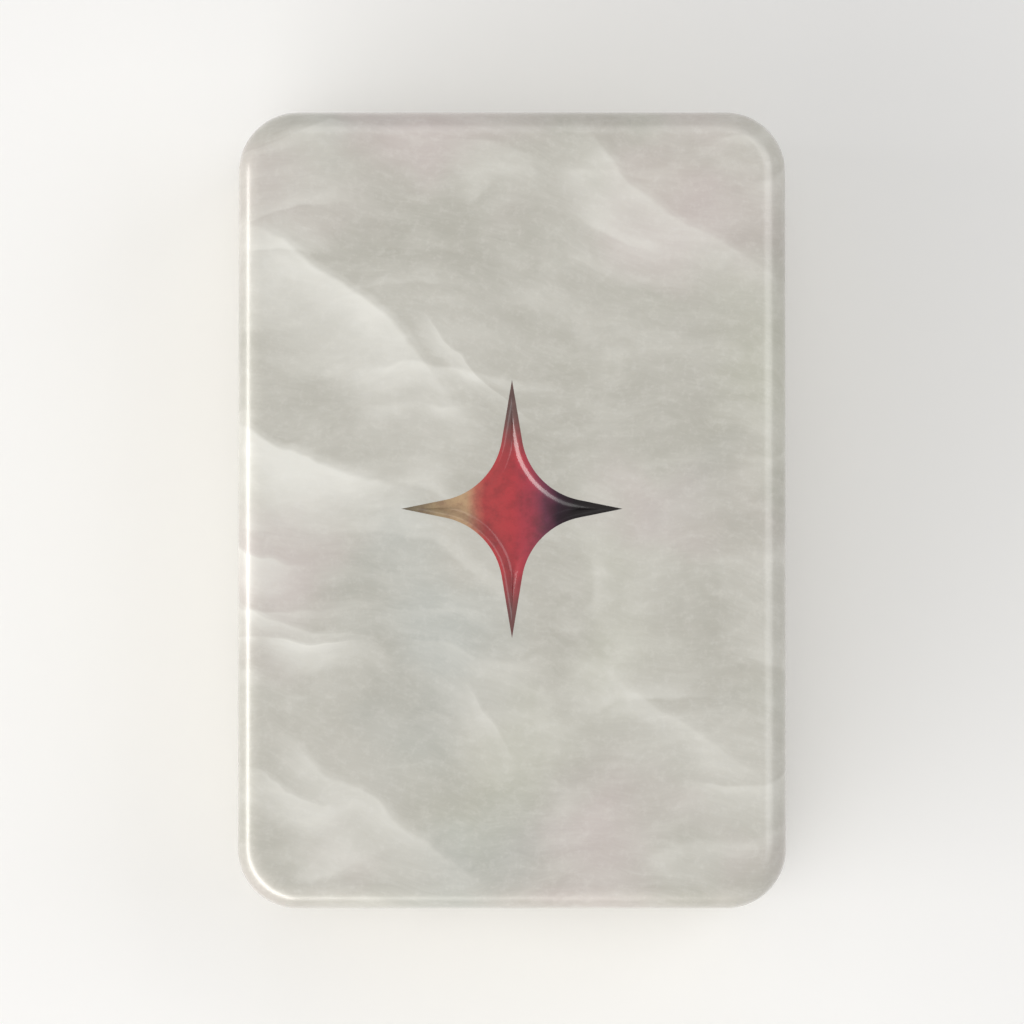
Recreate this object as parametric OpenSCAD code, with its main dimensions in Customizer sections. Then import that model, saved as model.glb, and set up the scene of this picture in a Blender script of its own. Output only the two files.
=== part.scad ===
// Mahjong tile, lying face down with its engraved star upwards.
// A pearl back is bonded to a solid face block, and the star is lined with paint.
// X is the width, Y the length and Z is up, from the face that it rests on. Millimetres.

/* [Tile] */
// Width of the tile
tile_w = 22; // [18:0.5:30]
// Length of the tile
tile_l = 32; // [26:0.5:42]
// Radius of the four upright corners
corner_r = 2.4; // [1.8:0.1:4]
// Radius of the rounding along the upper and lower edges
edge_r = 1; // [0.4:0.1:1.5]

/* [Layers] */
// Thickness of the solid face block
face_t = 8.4; // [5:0.1:12]
// Thickness of the clear film that bonds the two layers
bond_t = 0.1; // [0.05:0.05:0.3]
// Thickness of the pearl back
back_t = 4.2; // [2.5:0.1:6]

/* [Star] */
// Width of the star, point to point
star_w = 8.9; // [7:0.1:12]
// Length of the star, point to point
star_l = 10.4; // [8:0.1:13]
// Half of the angle at the left and right points
side_point = 11.5; // [10:0.5:16]
// Half of the angle at the upper and lower points
long_point = 9.5; // [7:0.5:14]
// Radius of the hollow sides between the points
hollow_r = 2.9; // [2:0.1:4]
// How far the hollow sides stand proud of the straight edges that they meet
hollow_proud = 0.02; // [0.01:0.01:0.05]
// Depth of the engraving at the middle of the star
star_depth = 0.28; // [0.2:0.02:0.6]
// How far the sloping walls run inwards over that depth
wall_run = 0.4; // [0.3:0.05:0.6]

/* [Paint] */
// Thickness of the paint in the engraving
paint_t = 0.1; // [0.05:0.01:0.2]
// Distance from the centre, leftwards, at which the gold begins
gold_from = 1.4; // [1:0.1:3]
// Distance from the centre, rightwards, at which the black begins
black_from = 1.4; // [1:0.1:3]
// Distance from the centre, up and down, at which the dark points begin
dark_from = 2.5; // [2:0.1:3.5]

/* [Hidden] */
$fn = 96;

// Heights of the layers, from the face upwards
back_z = face_t + bond_t;
tile_t = back_z + back_t;

// Straight stretches between the upright corners
span_x = tile_w - 2 * corner_r;
span_y = tile_l - 2 * corner_r;

// Centre of the hollow side between the right and upper points, at the same distance from
// the straight edges of both points, which it crosses just short of touching
half_w = star_w / 2;
half_l = star_l / 2;
edge_away = hollow_r - hollow_proud;
from_long = half_l * sin(long_point) + edge_away;
from_side = half_w * sin(side_point) + edge_away;
spread = cos(long_point + side_point);
hollow_x = (from_long * cos(side_point) - from_side * sin(long_point)) / spread;
hollow_y = (from_side * cos(long_point) - from_long * sin(side_point)) / spread;

// The engraving: its floor, the slope of its walls and how far a cutter overshoots
floor_z = tile_t - star_depth;
wall_slope = wall_run / star_depth;
past = 0.2;

// Section of the rounded rim between two heights, outwards from a corner's centre
module rim_section(z0, z1) {
    intersection() {
        translate([0, z0])
            square([corner_r, z1 - z0]);
        union() {
            square([corner_r - edge_r, tile_t]);
            translate([0, edge_r])
                square([corner_r, tile_t - 2 * edge_r]);
            for (z = [edge_r, tile_t - edge_r])
                translate([corner_r - edge_r, z])
                    circle(r = edge_r);
        }
    }
}

// The tile's rounded form between two heights: middle, four sides and four corners
module layer(z0, z1) {
    translate([-span_x / 2, -span_y / 2, z0])
        cube([span_x, span_y, z1 - z0]);
    for (turn = [0, 180])
        rotate(turn) {
            translate([span_x / 2, span_y / 2, 0])
                rotate([90, 0, 0])
                    linear_extrude(span_y)
                        rim_section(z0, z1);
            translate([-span_x / 2, span_y / 2, 0])
                rotate([90, 0, 90])
                    linear_extrude(span_x)
                        rim_section(z0, z1);
            translate([span_x / 2, span_y / 2, 0])
                rotate_extrude(angle = 90)
                    rim_section(z0, z1);
            translate([-span_x / 2, span_y / 2, 0])
                rotate(90)
                    rotate_extrude(angle = 90)
                        rim_section(z0, z1);
        }
}

// Reach of a wall at a height, from its reach at the pearl face, when it is lifted by paint
function reach_at(reach, z, lift) = reach + wall_slope * (tile_t + lift - z);

// A straight edge of the engraving, along the side of a point, as a bar with a sloping wall
module straight_edge(low_z, top_z, lift) {
    rotate([90, 0, 0])
        linear_extrude(star_l)
            polygon([
                [0, low_z],
                [reach_at(edge_away, low_z, lift), low_z],
                [reach_at(edge_away, top_z, lift), top_z],
                [0, top_z]
            ]);
}

// What the engraving leaves standing between the right and upper points
module shoulder(low_z, top_z, lift) {
    to_long = [-sin(long_point), cos(long_point)];
    to_side = [cos(side_point), -sin(side_point)];
    near = -hollow_r / 4;
    far = star_l;
    translate([hollow_x, hollow_y, 0]) {
        translate([0, 0, low_z])
            cylinder(
                h = top_z - low_z,
                r1 = reach_at(hollow_r, low_z, lift),
                r2 = reach_at(hollow_r, top_z, lift)
            );
        rotate(180 + long_point)
            straight_edge(low_z, top_z, lift);
        rotate(270 - side_point)
            mirror([0, 1, 0])
                straight_edge(low_z, top_z, lift);
        translate([0, 0, low_z])
            linear_extrude(top_z - low_z)
                polygon([
                    near * to_long + near * to_side,
                    near * to_long + far * to_side,
                    far * to_long + far * to_side,
                    far * to_long + near * to_side
                ]);
    }
}

// The engraved star, up to a height, with its floor and walls lifted by the paint on them
module star_hollow(lift, top_z) {
    low_z = floor_z + lift;
    difference() {
        translate([-half_w - past, -half_l - past, low_z])
            cube([star_w + 2 * past, star_l + 2 * past, top_z - low_z]);
        for (flip_x = [0, 1], flip_y = [0, 1])
            mirror([flip_x, 0, 0])
                mirror([0, flip_y, 0])
                    shoulder(low_z - past, top_z + past, lift);
    }
}

// The coat of paint, inside a block from one corner of the star's plan to another
module paint(low, high) {
    intersection() {
        difference() {
            star_hollow(0, tile_t);
            star_hollow(paint_t, tile_t + past);
        }
        translate([low[0], low[1], floor_z - past])
            cube([high[0] - low[0], high[1] - low[1], star_depth + 2 * past]);
    }
}

module face_block() {
    color("ivory")
        layer(0, face_t);
}

module bond_film() {
    color("lightyellow")
        layer(face_t, back_z);
}

module pearl_back() {
    color([0.74, 0.72, 0.68])
        difference() {
            layer(back_z, tile_t);
            star_hollow(0, tile_t + past);
        }
}

module star_red_paint() {
    color([0.67, 0.24, 0.26])
        paint([-gold_from, -dark_from], [black_from, dark_from]);
}

module star_gold_paint() {
    color([0.68, 0.56, 0.40])
        paint([-star_w, -dark_from], [-gold_from, dark_from]);
}

module star_black_paint() {
    color([0.13, 0.10, 0.11])
        paint([black_from, -dark_from], [star_w, dark_from]);
}

module star_upper_paint() {
    color([0.45, 0.38, 0.34])
        paint([-star_w, dark_from], [star_w, star_l]);
}

module star_lower_paint() {
    color([0.38, 0.20, 0.21])
        paint([-star_w, -star_l], [star_w, -dark_from]);
}

face_block();
bond_film();
pearl_back();
star_red_paint();
star_gold_paint();
star_black_paint();
star_upper_paint();
star_lower_paint();
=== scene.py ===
"""Mahjong tile lying star side up: pearl back, bond line, solid face block and painted star.

Shapes and places are in millimetres, in the frame of the CAD model, and become metres in Blender.
"""
import math

import bmesh
import bpy
import numpy as np
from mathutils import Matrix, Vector


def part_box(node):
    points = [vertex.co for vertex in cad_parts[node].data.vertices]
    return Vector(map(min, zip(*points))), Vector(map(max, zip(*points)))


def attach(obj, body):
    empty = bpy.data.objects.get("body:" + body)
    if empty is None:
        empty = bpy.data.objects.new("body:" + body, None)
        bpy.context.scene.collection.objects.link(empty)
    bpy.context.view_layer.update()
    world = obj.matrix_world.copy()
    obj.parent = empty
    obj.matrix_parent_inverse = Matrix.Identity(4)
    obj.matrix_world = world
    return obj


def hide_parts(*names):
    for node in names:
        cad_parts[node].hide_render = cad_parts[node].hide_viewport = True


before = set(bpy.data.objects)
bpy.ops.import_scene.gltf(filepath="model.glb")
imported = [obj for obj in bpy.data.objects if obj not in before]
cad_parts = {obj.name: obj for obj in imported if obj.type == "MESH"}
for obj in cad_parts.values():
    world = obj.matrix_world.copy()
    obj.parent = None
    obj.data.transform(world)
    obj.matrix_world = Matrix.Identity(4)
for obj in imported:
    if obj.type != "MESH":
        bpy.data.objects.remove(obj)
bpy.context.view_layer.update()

MM = 0.001
NEARLY_ZERO = 1e-9

# The tile's outline, with a narrow flat ring inside its rounded edges
CORNER_R = 2.4
EDGE_R = 1.0
FLAT_RING = 0.3

# The bond line: chamfers beside it, and how far the film's edge is set back
BOND_CHAMFER = 0.07
BOND_INSET = 0.03

# The engraved star, drawn from its rim to a last ring on its floor
SIDE_POINT = math.radians(11.5)
LONG_POINT = math.radians(9.5)
HOLLOW_R = 2.9
HOLLOW_PROUD = 0.02
HOLLOW_AWAY = HOLLOW_R - HOLLOW_PROUD
STAR_DEPTH = 0.28
WALL_RUN = 0.4
FLOOR_BLEND = 0.05
LAST_INSET = 0.6

# The rounded shoulder at its rim: wide in the hollow sides and fine at the points, which are told
# apart by their distance from the middle
SHOULDER_WIDE = 0.08
SHOULDER_FINE = 0.05
HOLLOW_REACH = 2.4
POINT_REACH = 4.0

# Steps inwards at which the star is drawn: its shoulder up to 1, then its wall and floor up to 2
STAR_STEPS = (
    0.06, 0.18, 0.3, 0.42, 0.54, 0.66, 0.78, 0.9, 1.0,
    1.1, 1.22, 1.34, 1.46, 1.58, 1.7, 1.82, 1.91, 2.0,
)

# The paint in it: thickness, the steps over which it grows to that, and where its colours are parted
PAINT_T = 0.08
PAINT_FULL = 0.7
COLOUR_SPLIT_X = 1.4
COLOUR_SPLIT_Y = 2.5

# How finely outlines and edges are drawn, and the share of a star point's edge left free at its ends
POINT_STEPS = 11
POINT_FREE = 0.02
HOLLOW_STEPS = 23
CORNER_STEPS = 19
FILLET_STEPS = 14
BOND_RINGS = 5

# Shading of the meshes
SHARP_ANGLE = math.radians(32)
NORMAL_WEIGHT = 60

# The camera, above the tile
CAMERA_ELEVATION = math.radians(88)
CAMERA_DISTANCE = 300.0
CAMERA_LENS = 260.0
CAMERA_SENSOR = 36.0
CAMERA_CLIP = 10.0
LOOK_AT = Vector((0, 0, 9.0))

# Floor, world and the colours of the lamps
FLOOR_HALF = 260.0
WORLD_STRENGTH = 0.54
WHITE_STRENGTH = 1.0
WARM_LIGHT = (1.0, 0.99, 0.97)
COOL_LIGHT = (0.98, 0.99, 1.0)

# Lamps: name, place, width, height, power in watts and colour
LAMPS = (
    ("window", (-272, -213, 140), 760, 105, 1.6, WARM_LIGHT),
    ("right_lamp", (190, 55, 280), 200, 200, 0.21, COOL_LIGHT),
    ("far_lamp", (30, 200, 290), 200, 200, 0.1, COOL_LIGHT),
)


def in_mm(corner):
    """A corner of a CAD node's box, in millimetres."""
    return [value / MM for value in corner]


# Half sizes and heights from the CAD model
FACE_LOW, FACE_HIGH = (in_mm(corner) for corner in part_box("face_block"))
PEARL_LOW, PEARL_HIGH = (in_mm(corner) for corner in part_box("pearl_back"))
HALF_W, HALF_L, TOP_Z = PEARL_HIGH
BASE_Z, FACE_Z, BACK_Z = FACE_LOW[2], FACE_HIGH[2], PEARL_LOW[2]
STAR_HALF_W = in_mm(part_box("star_black_paint")[1])[0]
STAR_HALF_L = in_mm(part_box("star_upper_paint")[1])[1]
STAR_FLOOR_Z = TOP_Z - STAR_DEPTH

# Centre of the tile's rounded corner in the first quadrant
CORNER = np.array([HALF_W - CORNER_R, HALF_L - CORNER_R])

# Directions at the star's upper and right points: out from their edges, and along them to the tips
LONG_NORMAL = np.array([math.cos(LONG_POINT), math.sin(LONG_POINT)])
SIDE_NORMAL = np.array([math.sin(SIDE_POINT), math.cos(SIDE_POINT)])
TO_LONG_TIP = np.array([-math.sin(LONG_POINT), math.cos(LONG_POINT)])
TO_SIDE_TIP = np.array([math.cos(SIDE_POINT), -math.sin(SIDE_POINT)])


# Outlines, as the distance from the middle of the tile at a polar angle

def hollow_centre():
    """Centre of the hollow side between the right and upper points."""
    from_long = STAR_HALF_L * math.sin(LONG_POINT) + HOLLOW_AWAY
    from_side = STAR_HALF_W * math.sin(SIDE_POINT) + HOLLOW_AWAY
    spread = math.cos(LONG_POINT + SIDE_POINT)
    return np.array([
        (from_long * math.cos(SIDE_POINT) - from_side * math.sin(LONG_POINT)) / spread,
        (from_side * math.cos(LONG_POINT) - from_long * math.sin(SIDE_POINT)) / spread,
    ])


HOLLOW = hollow_centre()


def folded_ray(angle):
    """Direction at a polar angle, mirrored into the first quadrant."""
    return np.array([abs(math.cos(angle)), abs(math.sin(angle))])


def star_reach(angle, inset):
    """Distance to the star's rim moved inwards by inset."""
    ray = folded_ray(angle)
    on_long = (STAR_HALF_L * math.sin(LONG_POINT) - inset) / (LONG_NORMAL @ ray)
    on_side = (STAR_HALF_W * math.sin(SIDE_POINT) - inset) / (SIDE_NORMAL @ ray)
    if (on_long * ray - HOLLOW) @ TO_LONG_TIP >= 0:
        return on_long
    if (on_side * ray - HOLLOW) @ TO_SIDE_TIP >= 0:
        return on_side
    along = ray @ HOLLOW
    radius = HOLLOW_AWAY + inset
    return along - math.sqrt(radius ** 2 - (HOLLOW @ HOLLOW - along ** 2))


def tile_reach(angle, inset):
    """Distance to the tile's rounded outline moved inwards by inset."""
    ray = folded_ray(angle)
    on_side = (HALF_W - inset) / max(ray[0], NEARLY_ZERO)
    on_end = (HALF_L - inset) / max(ray[1], NEARLY_ZERO)
    if on_side * ray[1] <= CORNER[1]:
        return on_side
    if on_end * ray[0] <= CORNER[0]:
        return on_end
    along = ray @ CORNER
    radius = CORNER_R - inset
    return along + math.sqrt(radius ** 2 - (CORNER @ CORNER - along ** 2))


def quadrant_angles():
    """Polar angles in the first quadrant, closest together where the outlines bend."""
    points = []
    side_tip, long_tip = np.array([STAR_HALF_W, 0]), np.array([0, STAR_HALF_L])
    side_turn = HOLLOW - HOLLOW_AWAY * SIDE_NORMAL
    long_turn = HOLLOW - HOLLOW_AWAY * LONG_NORMAL
    for share in np.linspace(POINT_FREE, 1 - POINT_FREE, POINT_STEPS):
        points.append(side_tip + share * (side_turn - side_tip))
        points.append(long_tip + share * (long_turn - long_tip))
    turn_from, turn_to = math.pi + LONG_POINT, 1.5 * math.pi - SIDE_POINT
    for turn in np.linspace(turn_from, turn_to, HOLLOW_STEPS):
        points.append(HOLLOW + HOLLOW_AWAY * np.array([math.cos(turn), math.sin(turn)]))
    for turn in np.linspace(0, math.pi / 2, CORNER_STEPS):
        points.append(CORNER + CORNER_R * np.array([math.cos(turn), math.sin(turn)]))
    return sorted(math.atan2(y, x) for x, y in points)


def all_angles():
    """Polar angles of a whole turn, alike in each quadrant and with the four points among them."""
    first = quadrant_angles()
    turn = [0.0] + first + [math.pi / 2] + [math.pi - a for a in reversed(first)]
    return np.array(turn + [math.pi + a for a in turn])


ANGLES = all_angles()


def ring(reach, inset, z):
    """Points of an outline at a height."""
    far = np.array([reach(a, inset) for a in ANGLES])
    return np.column_stack([far * np.cos(ANGLES), far * np.sin(ANGLES), np.full(len(ANGLES), z)])


# Meshes

def loft(rings, first_z, last_z):
    """A closed mesh through rings of points, with a fan at each end."""
    count = len(ANGLES)
    points = [(0, 0, first_z)] + [tuple(p) for r in rings for p in r] + [(0, 0, last_z)]
    last = len(points) - 1
    faces = []
    for i in range(count):
        j = (i + 1) % count
        faces.append((0, 1 + j, 1 + i))
        for level in range(len(rings) - 1):
            low, high = 1 + level * count, 1 + (level + 1) * count
            faces.append((low + i, low + j, high + j, high + i))
        top = 1 + (len(rings) - 1) * count
        faces.append((top + i, top + j, last))
    mesh = bmesh.new()
    verts = [mesh.verts.new(Vector(p) * MM) for p in points]
    for face in faces:
        mesh.faces.new([verts[v] for v in face])
    bmesh.ops.recalc_face_normals(mesh, faces=mesh.faces)
    return mesh


def keep_between(mesh, axis, low, high):
    """Cuts a closed mesh to a slab across an axis and closes the cuts."""
    direction = Vector((axis == 0, axis == 1, 0))
    for place, side in ((low, -1), (high, 1)):
        if place is None:
            continue
        geometry = list(mesh.verts) + list(mesh.edges) + list(mesh.faces)
        cut = bmesh.ops.bisect_plane(
            mesh, geom=geometry, plane_co=direction * place * MM,
            plane_no=direction * side, clear_outer=True,
        )
        edges = [e for e in cut["geom_cut"] if isinstance(e, bmesh.types.BMEdge)]
        bmesh.ops.holes_fill(mesh, edges=edges, sides=0)
    bmesh.ops.recalc_face_normals(mesh, faces=mesh.faces)


def add_piece(name, mesh, material, node):
    """Makes a piece of the tile that stands for a CAD node."""
    data = bpy.data.meshes.new(name)
    mesh.to_mesh(data)
    mesh.free()
    data.materials.append(material)
    data.polygons.foreach_set("use_smooth", [True] * len(data.polygons))
    data.set_sharp_from_angle(angle=SHARP_ANGLE)
    piece = bpy.data.objects.new(name, data)
    bpy.context.scene.collection.objects.link(piece)
    normals = piece.modifiers.new("normals", "WEIGHTED_NORMAL")
    normals.keep_sharp = True
    normals.weight = NORMAL_WEIGHT
    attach(piece, "root")
    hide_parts(node)


def shoulder_at(angle):
    """Width of the rounded shoulder at the star's rim, a smooth step between its two widths."""
    share = (POINT_REACH - star_reach(angle, 0)) / (POINT_REACH - HOLLOW_REACH)
    share = min(max(share, 0), 1)
    return SHOULDER_FINE + (SHOULDER_WIDE - SHOULDER_FINE) * share * share * (3 - 2 * share)


def pocket_depth(inset, shoulder):
    """Depth of the engraving at a distance inwards from its rim."""
    slope = STAR_DEPTH / WALL_RUN
    if inset < shoulder:
        wall = slope * inset ** 2 / (2 * shoulder)
    else:
        wall = slope * (inset - shoulder / 2)
    gap = max(FLOOR_BLEND - abs(wall - STAR_DEPTH), 0)
    return min(wall, STAR_DEPTH) - gap ** 2 / (4 * FLOOR_BLEND)


def star_ring(step, painted):
    """Points round the engraving at a step inwards, on its own surface or on the paint's."""
    film = min((step - STAR_STEPS[0]) / PAINT_FULL, 1) * PAINT_T if painted else 0
    points = []
    for angle in ANGLES:
        shoulder = shoulder_at(angle)
        inset = step * shoulder if step <= 1 else shoulder + (step - 1) * (LAST_INSET - shoulder)
        far = star_reach(angle, inset)
        z = TOP_Z - pocket_depth(inset, shoulder) + film
        points.append((far * math.cos(angle), far * math.sin(angle), min(z, TOP_Z)))
    return points


def fillet(sign, z):
    """Rings of a rounded edge from the tile's side to its upper (1) or lower (-1) face at height z."""
    steps = np.linspace(0, math.pi / 2, FILLET_STEPS + 1)
    return [
        ring(tile_reach, EDGE_R * (1 - math.cos(a)), z - sign * EDGE_R * (1 - math.sin(a)))
        for a in steps
    ]


def pearl_mesh():
    """The pearl back, with its engraved star."""
    rings = [ring(tile_reach, BOND_CHAMFER, BACK_Z), ring(tile_reach, 0, BACK_Z + BOND_CHAMFER)]
    rings += fillet(1, TOP_Z)
    rings.append(ring(tile_reach, EDGE_R + FLAT_RING, TOP_Z))
    rings += [star_ring(step, painted=False) for step in (0,) + STAR_STEPS]
    return loft(rings, BACK_Z, STAR_FLOOR_Z)


def face_mesh():
    """The solid face block."""
    rings = [ring(tile_reach, EDGE_R + FLAT_RING, BASE_Z)]
    rings += reversed(fillet(-1, BASE_Z))
    rings += [ring(tile_reach, 0, FACE_Z - BOND_CHAMFER), ring(tile_reach, BOND_CHAMFER, FACE_Z)]
    return loft(rings, BASE_Z, FACE_Z)


def bond_mesh():
    """The film of adhesive between the two layers, with a slightly hollow edge."""
    rings = []
    for share in np.linspace(0, 1, BOND_RINGS):
        inset = BOND_INSET * (1 + math.sin(math.pi * share))
        rings.append(ring(tile_reach, inset, FACE_Z + share * (BACK_Z - FACE_Z)))
    return loft(rings, FACE_Z, BACK_Z)


def paint_mesh():
    """The whole coat of paint: up the engraving from below, over its rim and down again."""
    under = [star_ring(step, painted=False) for step in reversed(STAR_STEPS)]
    over = [star_ring(step, painted=True) for step in STAR_STEPS[1:]]
    return loft(under + over, STAR_FLOOR_Z, STAR_FLOOR_Z + PAINT_T)


# Materials

def srgb(red, green, blue):
    """A colour given in display values from 0 to 255, as linear light."""
    def linear(value):
        share = value / 255
        return share / 12.92 if share <= 0.04045 else ((share + 0.055) / 1.055) ** 2.4
    return (linear(red), linear(green), linear(blue), 1)


# Colours: two tones of each plain material, and what is mixed into them
PEARL_TONES = (srgb(172, 169, 158), srgb(185, 182, 172))
PEARL_PIGMENT = srgb(224, 222, 214)
PEARL_FLAKES = srgb(236, 234, 228)
FACE_TONES = (srgb(212, 207, 193), srgb(221, 217, 204))
FACE_STAIN = srgb(182, 171, 148)
BOND_TONES = (srgb(158, 147, 120), srgb(184, 174, 148))
FLOOR_TONES = (srgb(244, 243, 241), srgb(248, 247, 246))

# Tints of the pearl: colour, the noise at which each begins and is full, and its share when full
PEARL_TINTS = (
    (srgb(194, 180, 177), 0.48, 0.7, 0.7),
    (srgb(186, 187, 168), 0.54, 0.76, 0.4),
    (srgb(176, 185, 183), 0.54, 0.76, 0.35),
)

# Veils in the pearl: where each begins, its direction in degrees, length, width and strength
VEILS = (
    (-11.5, 12.5, -40, 15.5, 8.0, 0.85),
    (-4.5, 7.6, -34, 7.0, 1.6, 0.55),
    (-12.5, 4.6, -22, 10.5, 7.5, 1.0),
    (-11.5, -3.0, -28, 8.0, 5.0, 0.45),
    (2.0, 17.0, -40, 14.0, 7.0, 0.45),
    (-10.0, -8.5, -32, 12.0, 6.5, 0.5),
    (2.5, -4.5, -38, 13.0, 7.0, 0.35),
    (-11.5, -1.2, -12, 4.5, 3.5, 0.55),
    (-9.5, -5.2, -15, 3.6, 3.0, 0.6),
    (-11.5, -10.0, -20, 5.5, 3.5, 0.5),
    (-2.5, -6.5, -50, 4.0, 3.0, 0.35),
)

# Brightness across a veil, from its soft side to its crisp edge, and along it, as shares of its length
VEIL_PROFILE = (
    (0.0, 0.0), (0.45, 0.16), (0.75, 0.6), (0.9, 0.9), (0.94, 1.0), (0.97, 0.3), (1.0, 0.0),
)
VEIL_BEGINS = (0.0, 0.3)
VEIL_ENDS = (1.0, 0.45)

# Brightness across a faint fold between the veils, and its strength
FOLD_PROFILE = ((0.0, 0.0), (0.1, 1.0), (0.45, 0.4), (1.0, 0.0))
FOLD_STRENGTH = 0.34

# Colours of the enamel by their place across the star, from its left tip, 0, to its right one, 1
ENAMEL_ACROSS = (
    (0.00, srgb(92, 84, 68)),
    (0.14, srgb(142, 122, 90)),
    (0.29, srgb(184, 150, 112)),
    (0.34, srgb(178, 92, 74)),
    (0.38, srgb(172, 48, 48)),
    (0.50, srgb(174, 38, 47)),
    (0.58, srgb(154, 36, 56)),
    (0.65, srgb(98, 32, 58)),
    (0.71, srgb(46, 24, 38)),
    (0.78, srgb(22, 16, 18)),
    (1.00, srgb(34, 30, 28)),
)
ENAMEL_UPPER = srgb(98, 70, 64)
ENAMEL_LOWER = srgb(102, 56, 53)
ENAMEL_MOTTLE = srgb(150, 96, 104)

# Places between which the enamel takes on the colour of the upper and lower points, the metal of the
# gold one and the lesser gloss of the black one
UPPER_FADE = (1.9, 4.0)
LOWER_FADE = (-2.3, -4.3)
GOLD_FADE = (-1.2, -2.2)
BLACK_FADE = (0.9, 2.1)

# Refraction of the two acrylics, and how far the face block is stained from the bond line downwards
ACRYLIC_IOR = 1.49
STAIN_REACH = 0.5

# Sockets of a Mix node that mixes colours
MIX_SHARE, MIX_FIRST, MIX_SECOND, MIX_RESULT = 0, 6, 7, 2


class Graph:
    """A node material, with short calls for the nodes that the materials here share."""

    def __init__(self, name):
        self.material = bpy.data.materials.new(name)
        self.material.use_nodes = True
        self.tree = self.material.node_tree
        self.shader = self.tree.nodes["Principled BSDF"]

    def node(self, kind, inputs=(), **settings):
        """A node with its settings, and its inputs by name: a value or another node's output."""
        made = self.tree.nodes.new("ShaderNode" + kind)
        for name, value in settings.items():
            setattr(made, name, value)
        for name, value in dict(inputs).items():
            self.give(made.inputs[name], value)
        return made

    def give(self, socket, value):
        """Sets a socket to a value, or links another node's output to it."""
        if isinstance(value, bpy.types.NodeSocket):
            self.tree.links.new(value, socket)
        else:
            socket.default_value = value

    def math(self, operation, first, second=0.0):
        """A sum, product or the like of two values."""
        return self.node("Math", {0: first, 1: second}, operation=operation).outputs[0]

    def place(self):
        """Object coordinates in millimetres."""
        position = self.node("TexCoord").outputs["Object"]
        return self.node("Mapping", {"Vector": position, "Scale": (1 / MM,) * 3}).outputs[0]

    def noise(self, place, scale, detail=2.0, roughness=0.5):
        """A noise node, with a value and a colour as outputs."""
        return self.node("TexNoise", {
            "Vector": place, "Scale": scale, "Detail": detail, "Roughness": roughness,
        })

    def warp(self, place, scale, amount):
        """Coordinates pushed about by noise."""
        push = self.noise(place, scale).outputs["Color"]
        centred = self.node("VectorMath", {0: push, 1: (0.5,) * 3}, operation="SUBTRACT").outputs[0]
        scaled = self.node("VectorMath", {0: centred, "Scale": amount}, operation="SCALE").outputs[0]
        return self.node("VectorMath", {0: place, 1: scaled}, operation="ADD").outputs[0]

    def fade(self, value, start, end, low=0.0, high=1.0):
        """A smooth step from low to high as a value goes from start to end."""
        return self.node("MapRange", {
            "Value": value, "From Min": start, "From Max": end, "To Min": low, "To Max": high,
        }, interpolation_type="SMOOTHSTEP").outputs[0]

    def ramp(self, value, stops, easing="EASE"):
        """Colours, or greys, by value, from (place, colour) stops."""
        made = self.node("ValToRGB", {0: value})
        made.color_ramp.interpolation = easing
        elements = made.color_ramp.elements
        while len(elements) < len(stops):
            elements.new(0.5)
        for element, (where, colour) in zip(elements, stops):
            element.position = where
            element.color = colour if isinstance(colour, tuple) else (colour, colour, colour, 1)
        return made.outputs[0]

    def mix(self, share, first, second, blend="MIX"):
        """Two colours mixed, the second by a share."""
        inputs = {MIX_SHARE: share, MIX_FIRST: first, MIX_SECOND: second}
        return self.node("Mix", inputs, data_type="RGBA", blend_type=blend).outputs[MIX_RESULT]

    def bump(self, height, strength, distance):
        """A surface direction from a height, with its distance in millimetres."""
        return self.node("Bump", {
            "Height": height, "Strength": strength, "Distance": distance * MM,
        }).outputs[0]

    def shade(self, **inputs):
        """Sets the shader's inputs, with underscores for the spaces in their names."""
        for name, value in inputs.items():
            self.give(self.shader.inputs[name.replace("_", " ")], value)
        return self.material


def veil(graph, place, values):
    """Brightness of one fold of pearl: a crisp upper edge that fades out below."""
    x, y, turn, length, width, strength = values
    local = graph.node("Mapping", {
        "Vector": place, "Location": (x, y, 0), "Rotation": (0, 0, math.radians(turn)),
        "Scale": (length, width, 1),
    }, vector_type="TEXTURE").outputs[0]
    parts = graph.node("SeparateXYZ", {0: local})
    begins = graph.fade(parts.outputs[0], *VEIL_BEGINS, high=strength)
    ends = graph.fade(parts.outputs[0], *VEIL_ENDS)
    profile = graph.ramp(graph.math("ADD", parts.outputs[1], 1.0), VEIL_PROFILE)
    return graph.math("MULTIPLY", graph.math("MULTIPLY", begins, ends), profile)


def folds(graph, place, scale, count):
    """Bands along the level lines of a smooth field, each with a crisp and a soft side."""
    field = graph.noise(place, scale, detail=0.0).outputs["Fac"]
    phase = graph.math("FRACT", graph.math("MULTIPLY", field, count))
    return graph.ramp(phase, FOLD_PROFILE)


def pearl_body(graph, place, clouds):
    """Grey of the pearl, cloudy between its two tones and faintly tinted."""
    body = graph.mix(graph.fade(clouds, 0.3, 0.7), *PEARL_TONES)
    drift = graph.noise(graph.warp(place, scale=0.2, amount=4.0), scale=0.1).outputs["Color"]
    channels = graph.node("SeparateColor", {0: drift}).outputs
    for channel, (tint, begins, full, share) in zip(channels, PEARL_TINTS):
        body = graph.mix(graph.fade(channel, begins, full, high=share), body, tint)
    return body


def pearl_pigment(graph, flow, lean, clouds, silk):
    """Share of pale pigment in the pearl: veils, faint folds among the clouds, and a silky haze."""
    light = veil(graph, flow, VEILS[0])
    for values in VEILS[1:]:
        light = graph.math("ADD", light, veil(graph, flow, values))
    bands = folds(graph, lean, scale=0.11, count=7.0)
    bands = graph.math("MULTIPLY", bands, graph.fade(clouds, 0.42, 0.66))
    light = graph.math("ADD", light, graph.math("MULTIPLY", bands, FOLD_STRENGTH))
    light = graph.math("ADD", light, graph.fade(silk, 0.35, 0.8, high=0.22))
    return graph.node("Clamp", {0: light}).outputs[0]


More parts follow.
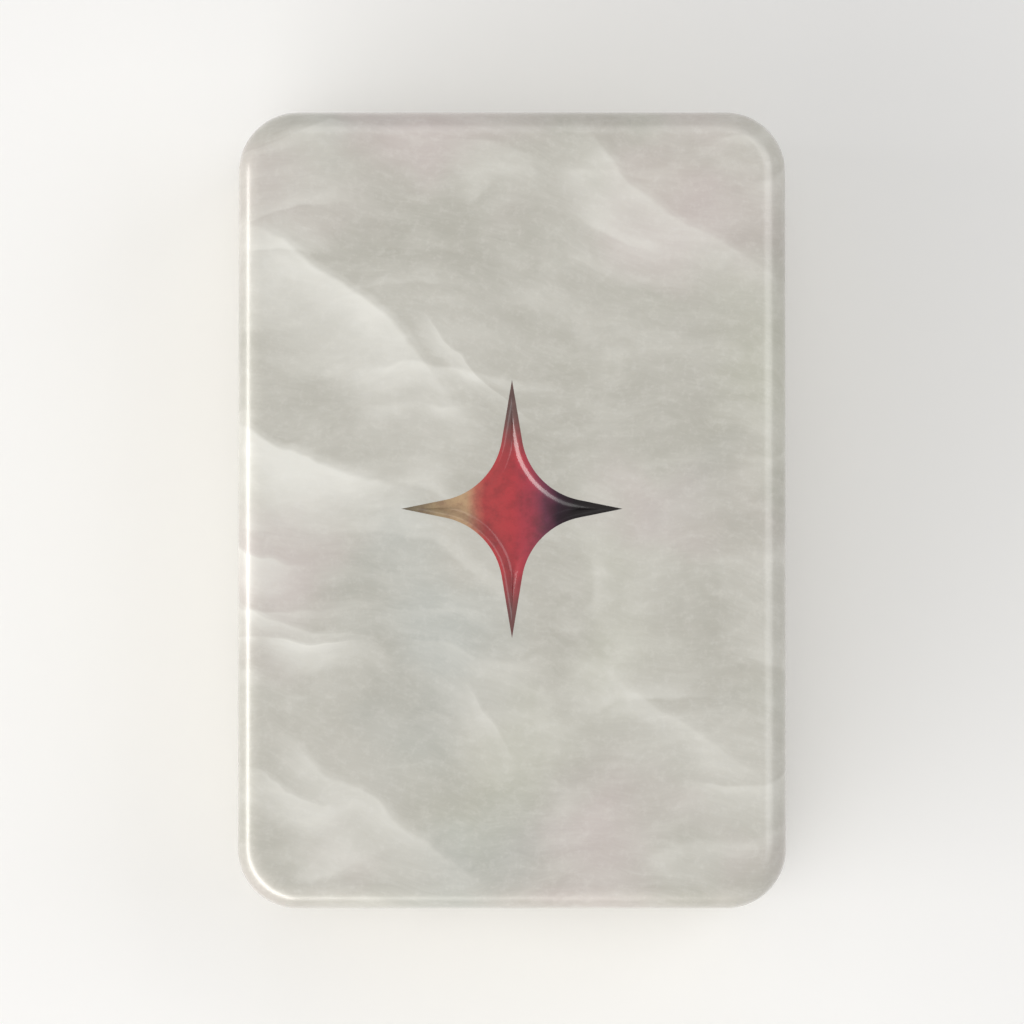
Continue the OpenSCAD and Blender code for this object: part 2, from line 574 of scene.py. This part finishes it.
def pearl_material():
    """Polished pearl acrylic: folds of pale pigment, faint tints and a fine grain under a clear skin."""
    graph = Graph("pearl_acrylic")
    place = graph.place()
    flow = graph.warp(graph.warp(place, scale=0.09, amount=5.0), scale=0.4, amount=1.1)
    lean = graph.node("Mapping", {
        "Vector": flow, "Rotation": (0, 0, math.radians(35)), "Scale": (0.4, 1.2, 0.8),
    }).outputs[0]
    threads = graph.node("Mapping", {"Vector": lean, "Scale": (1.0, 4.0, 2.0)}).outputs[0]
    clouds = graph.noise(flow, scale=0.17, detail=3.0).outputs["Fac"]
    silk = graph.noise(lean, scale=0.9, detail=4.0, roughness=0.6).outputs["Fac"]
    grain = graph.noise(threads, scale=1.6, detail=3.0, roughness=0.75).outputs["Fac"]
    flakes = graph.noise(place, scale=2.2, detail=3.0, roughness=0.8).outputs["Fac"]
    body = pearl_body(graph, place, clouds)
    body = graph.mix(pearl_pigment(graph, flow, lean, clouds, silk), body, PEARL_PIGMENT)
    body = graph.mix(graph.fade(grain, 0.35, 0.75, high=0.07), body, PEARL_FLAKES)
    body = graph.mix(graph.fade(flakes, 0.45, 0.75, high=0.13), body, PEARL_FLAKES)
    return graph.shade(
        Base_Color=body, Roughness=graph.fade(silk, 0.2, 0.8, low=0.3, high=0.4), Metallic=0.12,
        IOR=ACRYLIC_IOR, Normal=graph.bump(grain, strength=0.12, distance=0.04),
        Coat_Weight=1.0, Coat_Roughness=0.24, Coat_IOR=ACRYLIC_IOR,
        Subsurface_Weight=0.1, Subsurface_Radius=(1.0, 0.9, 0.75), Subsurface_Scale=0.4 * MM,
    )


def face_material():
    """Warm white acrylic, faintly cloudy, with hairline scratches and a stain beside the bond line."""
    graph = Graph("face_acrylic")
    place = graph.place()
    drift = graph.warp(place, scale=0.15, amount=3.0)
    clouds = graph.noise(drift, scale=0.2, detail=4.0).outputs["Fac"]
    body = graph.mix(graph.fade(clouds, 0.3, 0.7), *FACE_TONES)
    height = graph.node("SeparateXYZ", {0: place}).outputs[2]
    near_bond = graph.fade(height, FACE_Z - STAIN_REACH, FACE_Z, high=0.5)
    patches = graph.noise(place, scale=1.6, detail=4.0, roughness=0.65).outputs["Fac"]
    body = graph.mix(graph.math("MULTIPLY", near_bond, patches), body, FACE_STAIN)
    strokes = graph.node("Mapping", {
        "Vector": graph.warp(place, scale=0.3, amount=1.0),
        "Rotation": (0.3, 0.2, 0.7), "Scale": (0.4, 9.0, 6.0),
    }).outputs[0]
    scratches = graph.noise(strokes, scale=1.0, detail=3.0, roughness=0.7).outputs["Fac"]
    return graph.shade(
        Base_Color=body, Roughness=graph.fade(scratches, 0.45, 0.8, low=0.16, high=0.3),
        IOR=ACRYLIC_IOR, Normal=graph.bump(scratches, strength=0.05, distance=0.04),
        Coat_Weight=0.6, Coat_Roughness=0.04,
        Subsurface_Weight=0.15, Subsurface_Radius=(1.0, 0.85, 0.6), Subsurface_Scale=0.8 * MM,
    )


def bond_material():
    """Clear adhesive gone slightly yellow, seen as a fine line."""
    graph = Graph("bond_adhesive")
    patches = graph.noise(graph.place(), scale=0.9, detail=3.0).outputs["Fac"]
    body = graph.mix(graph.fade(patches, 0.3, 0.7), *BOND_TONES)
    return graph.shade(
        Base_Color=body, Roughness=graph.fade(patches, 0.2, 0.8, low=0.25, high=0.45), IOR=1.47,
        Normal=graph.bump(patches, strength=0.1, distance=0.02),
    )


def enamel_material(name):
    """Enamel: red at the middle, satin gold to the left, black to the right, dark up and down."""
    graph = Graph(name)
    place = graph.place()
    blended = graph.warp(graph.warp(place, scale=0.8, amount=0.5), scale=3.5, amount=0.12)
    parts = graph.node("SeparateXYZ", {0: blended})
    x, y = parts.outputs[0], parts.outputs[1]
    across = graph.node("MapRange", {
        "Value": x, "From Min": -STAR_HALF_W, "From Max": STAR_HALF_W,
    }).outputs[0]
    colour = graph.ramp(across, ENAMEL_ACROSS, "LINEAR")
    colour = graph.mix(graph.fade(y, *UPPER_FADE), colour, ENAMEL_UPPER)
    colour = graph.mix(graph.fade(y, *LOWER_FADE), colour, ENAMEL_LOWER)
    mottle = graph.noise(place, scale=1.7, detail=4.0, roughness=0.65).outputs["Fac"]
    colour = graph.mix(graph.fade(mottle, 0.4, 0.75, high=0.5), colour, ENAMEL_MOTTLE, "MULTIPLY")
    peel = graph.noise(place, scale=5.0).outputs["Fac"]
    return graph.shade(
        Base_Color=colour, Roughness=graph.fade(mottle, 0.2, 0.8, low=0.25, high=0.38), IOR=1.5,
        Metallic=graph.fade(x, *GOLD_FADE, high=0.2), Specular_IOR_Level=0.12,
        Normal=graph.bump(peel, strength=0.15, distance=0.03),
        Coat_Weight=graph.fade(x, *BLACK_FADE, low=1.0, high=0.2), Coat_Roughness=0.12,
    )


# The tile

def make_tile():
    """The tile's eight pieces."""
    add_piece("pearl_layer", pearl_mesh(), pearl_material(), "pearl_back")
    add_piece("face_layer", face_mesh(), face_material(), "face_block")
    add_piece("bond_line", bond_mesh(), bond_material(), "bond_film")
    x, y = COLOUR_SPLIT_X, COLOUR_SPLIT_Y
    paints = (
        ("red", (-x, x), (-y, y)),
        ("gold", (None, -x), (-y, y)),
        ("black", (x, None), (-y, y)),
        ("upper", (None, None), (y, None)),
        ("lower", (None, None), (None, -y)),
    )
    for colour, across, along in paints:
        mesh = paint_mesh()
        keep_between(mesh, 0, *across)
        keep_between(mesh, 1, *along)
        enamel = enamel_material(colour + "_enamel")
        add_piece("star_" + colour, mesh, enamel, f"star_{colour}_paint")


# The set

def make_floor():
    """A plain pale floor under the tile."""
    half = FLOOR_HALF * MM
    data = bpy.data.meshes.new("floor")
    corners = [(-half, -half, 0), (half, -half, 0), (half, half, 0), (-half, half, 0)]
    data.from_pydata(corners, [], [(0, 1, 2, 3)])
    graph = Graph("floor_paper")
    fibres = graph.noise(graph.place(), scale=0.02).outputs["Fac"]
    colour = graph.mix(fibres, *FLOOR_TONES)
    data.materials.append(graph.shade(Base_Color=colour, Roughness=0.9, Specular_IOR_Level=0.1))
    floor = bpy.data.objects.new("floor", data)
    bpy.context.scene.collection.objects.link(floor)


def aim(thing, place, target):
    """Puts a light or camera at a place, looking at a target, both in millimetres."""
    thing.location = Vector(place) * MM
    thing.rotation_euler = (Vector(target) - Vector(place)).to_track_quat("-Z", "Y").to_euler()
    bpy.context.scene.collection.objects.link(thing)


def make_lamp(name, place, width, height, power, colour):
    """A soft lamp that faces the tile."""
    data = bpy.data.lights.new(name, "AREA")
    data.shape = "RECTANGLE"
    data.size = width * MM
    data.size_y = height * MM
    data.energy = power
    data.color = colour
    aim(bpy.data.objects.new(name, data), place, LOOK_AT)


def make_world():
    """Even light from all round, white where it is seen directly, in a reflection or through glass."""
    world = bpy.data.worlds.new("studio")
    world.use_nodes = True
    bpy.context.scene.world = world
    tree = world.node_tree
    background = tree.nodes["Background"]
    background.inputs["Color"].default_value = (1, 1, 1, 1)
    path = tree.nodes.new("ShaderNodeLightPath")
    seen = path.outputs["Is Camera Ray"]
    for kind in ("Is Glossy Ray", "Is Transmission Ray"):
        either = tree.nodes.new("ShaderNodeMath")
        either.operation = "MAXIMUM"
        tree.links.new(seen, either.inputs[0])
        tree.links.new(path.outputs[kind], either.inputs[1])
        seen = either.outputs[0]
    level = tree.nodes.new("ShaderNodeMapRange")
    level.inputs["To Min"].default_value = WORLD_STRENGTH
    level.inputs["To Max"].default_value = WHITE_STRENGTH
    tree.links.new(seen, level.inputs["Value"])
    tree.links.new(level.outputs[0], background.inputs["Strength"])


def make_camera():
    """Camera above the tile, leaning a little towards its lower end."""
    data = bpy.data.cameras.new("camera")
    data.lens = CAMERA_LENS
    data.sensor_width = CAMERA_SENSOR
    data.clip_start = CAMERA_CLIP * MM
    camera = bpy.data.objects.new("camera", data)
    lean = Vector((0, -math.cos(CAMERA_ELEVATION), math.sin(CAMERA_ELEVATION)))
    aim(camera, LOOK_AT + CAMERA_DISTANCE * lean, LOOK_AT)
    bpy.context.scene.camera = camera


def make_set():
    """Floor, light and camera."""
    make_floor()
    make_world()
    for lamp in LAMPS:
        make_lamp(*lamp)
    make_camera()
    bpy.context.scene.view_settings.view_transform = "Standard"


make_tile()
make_set()
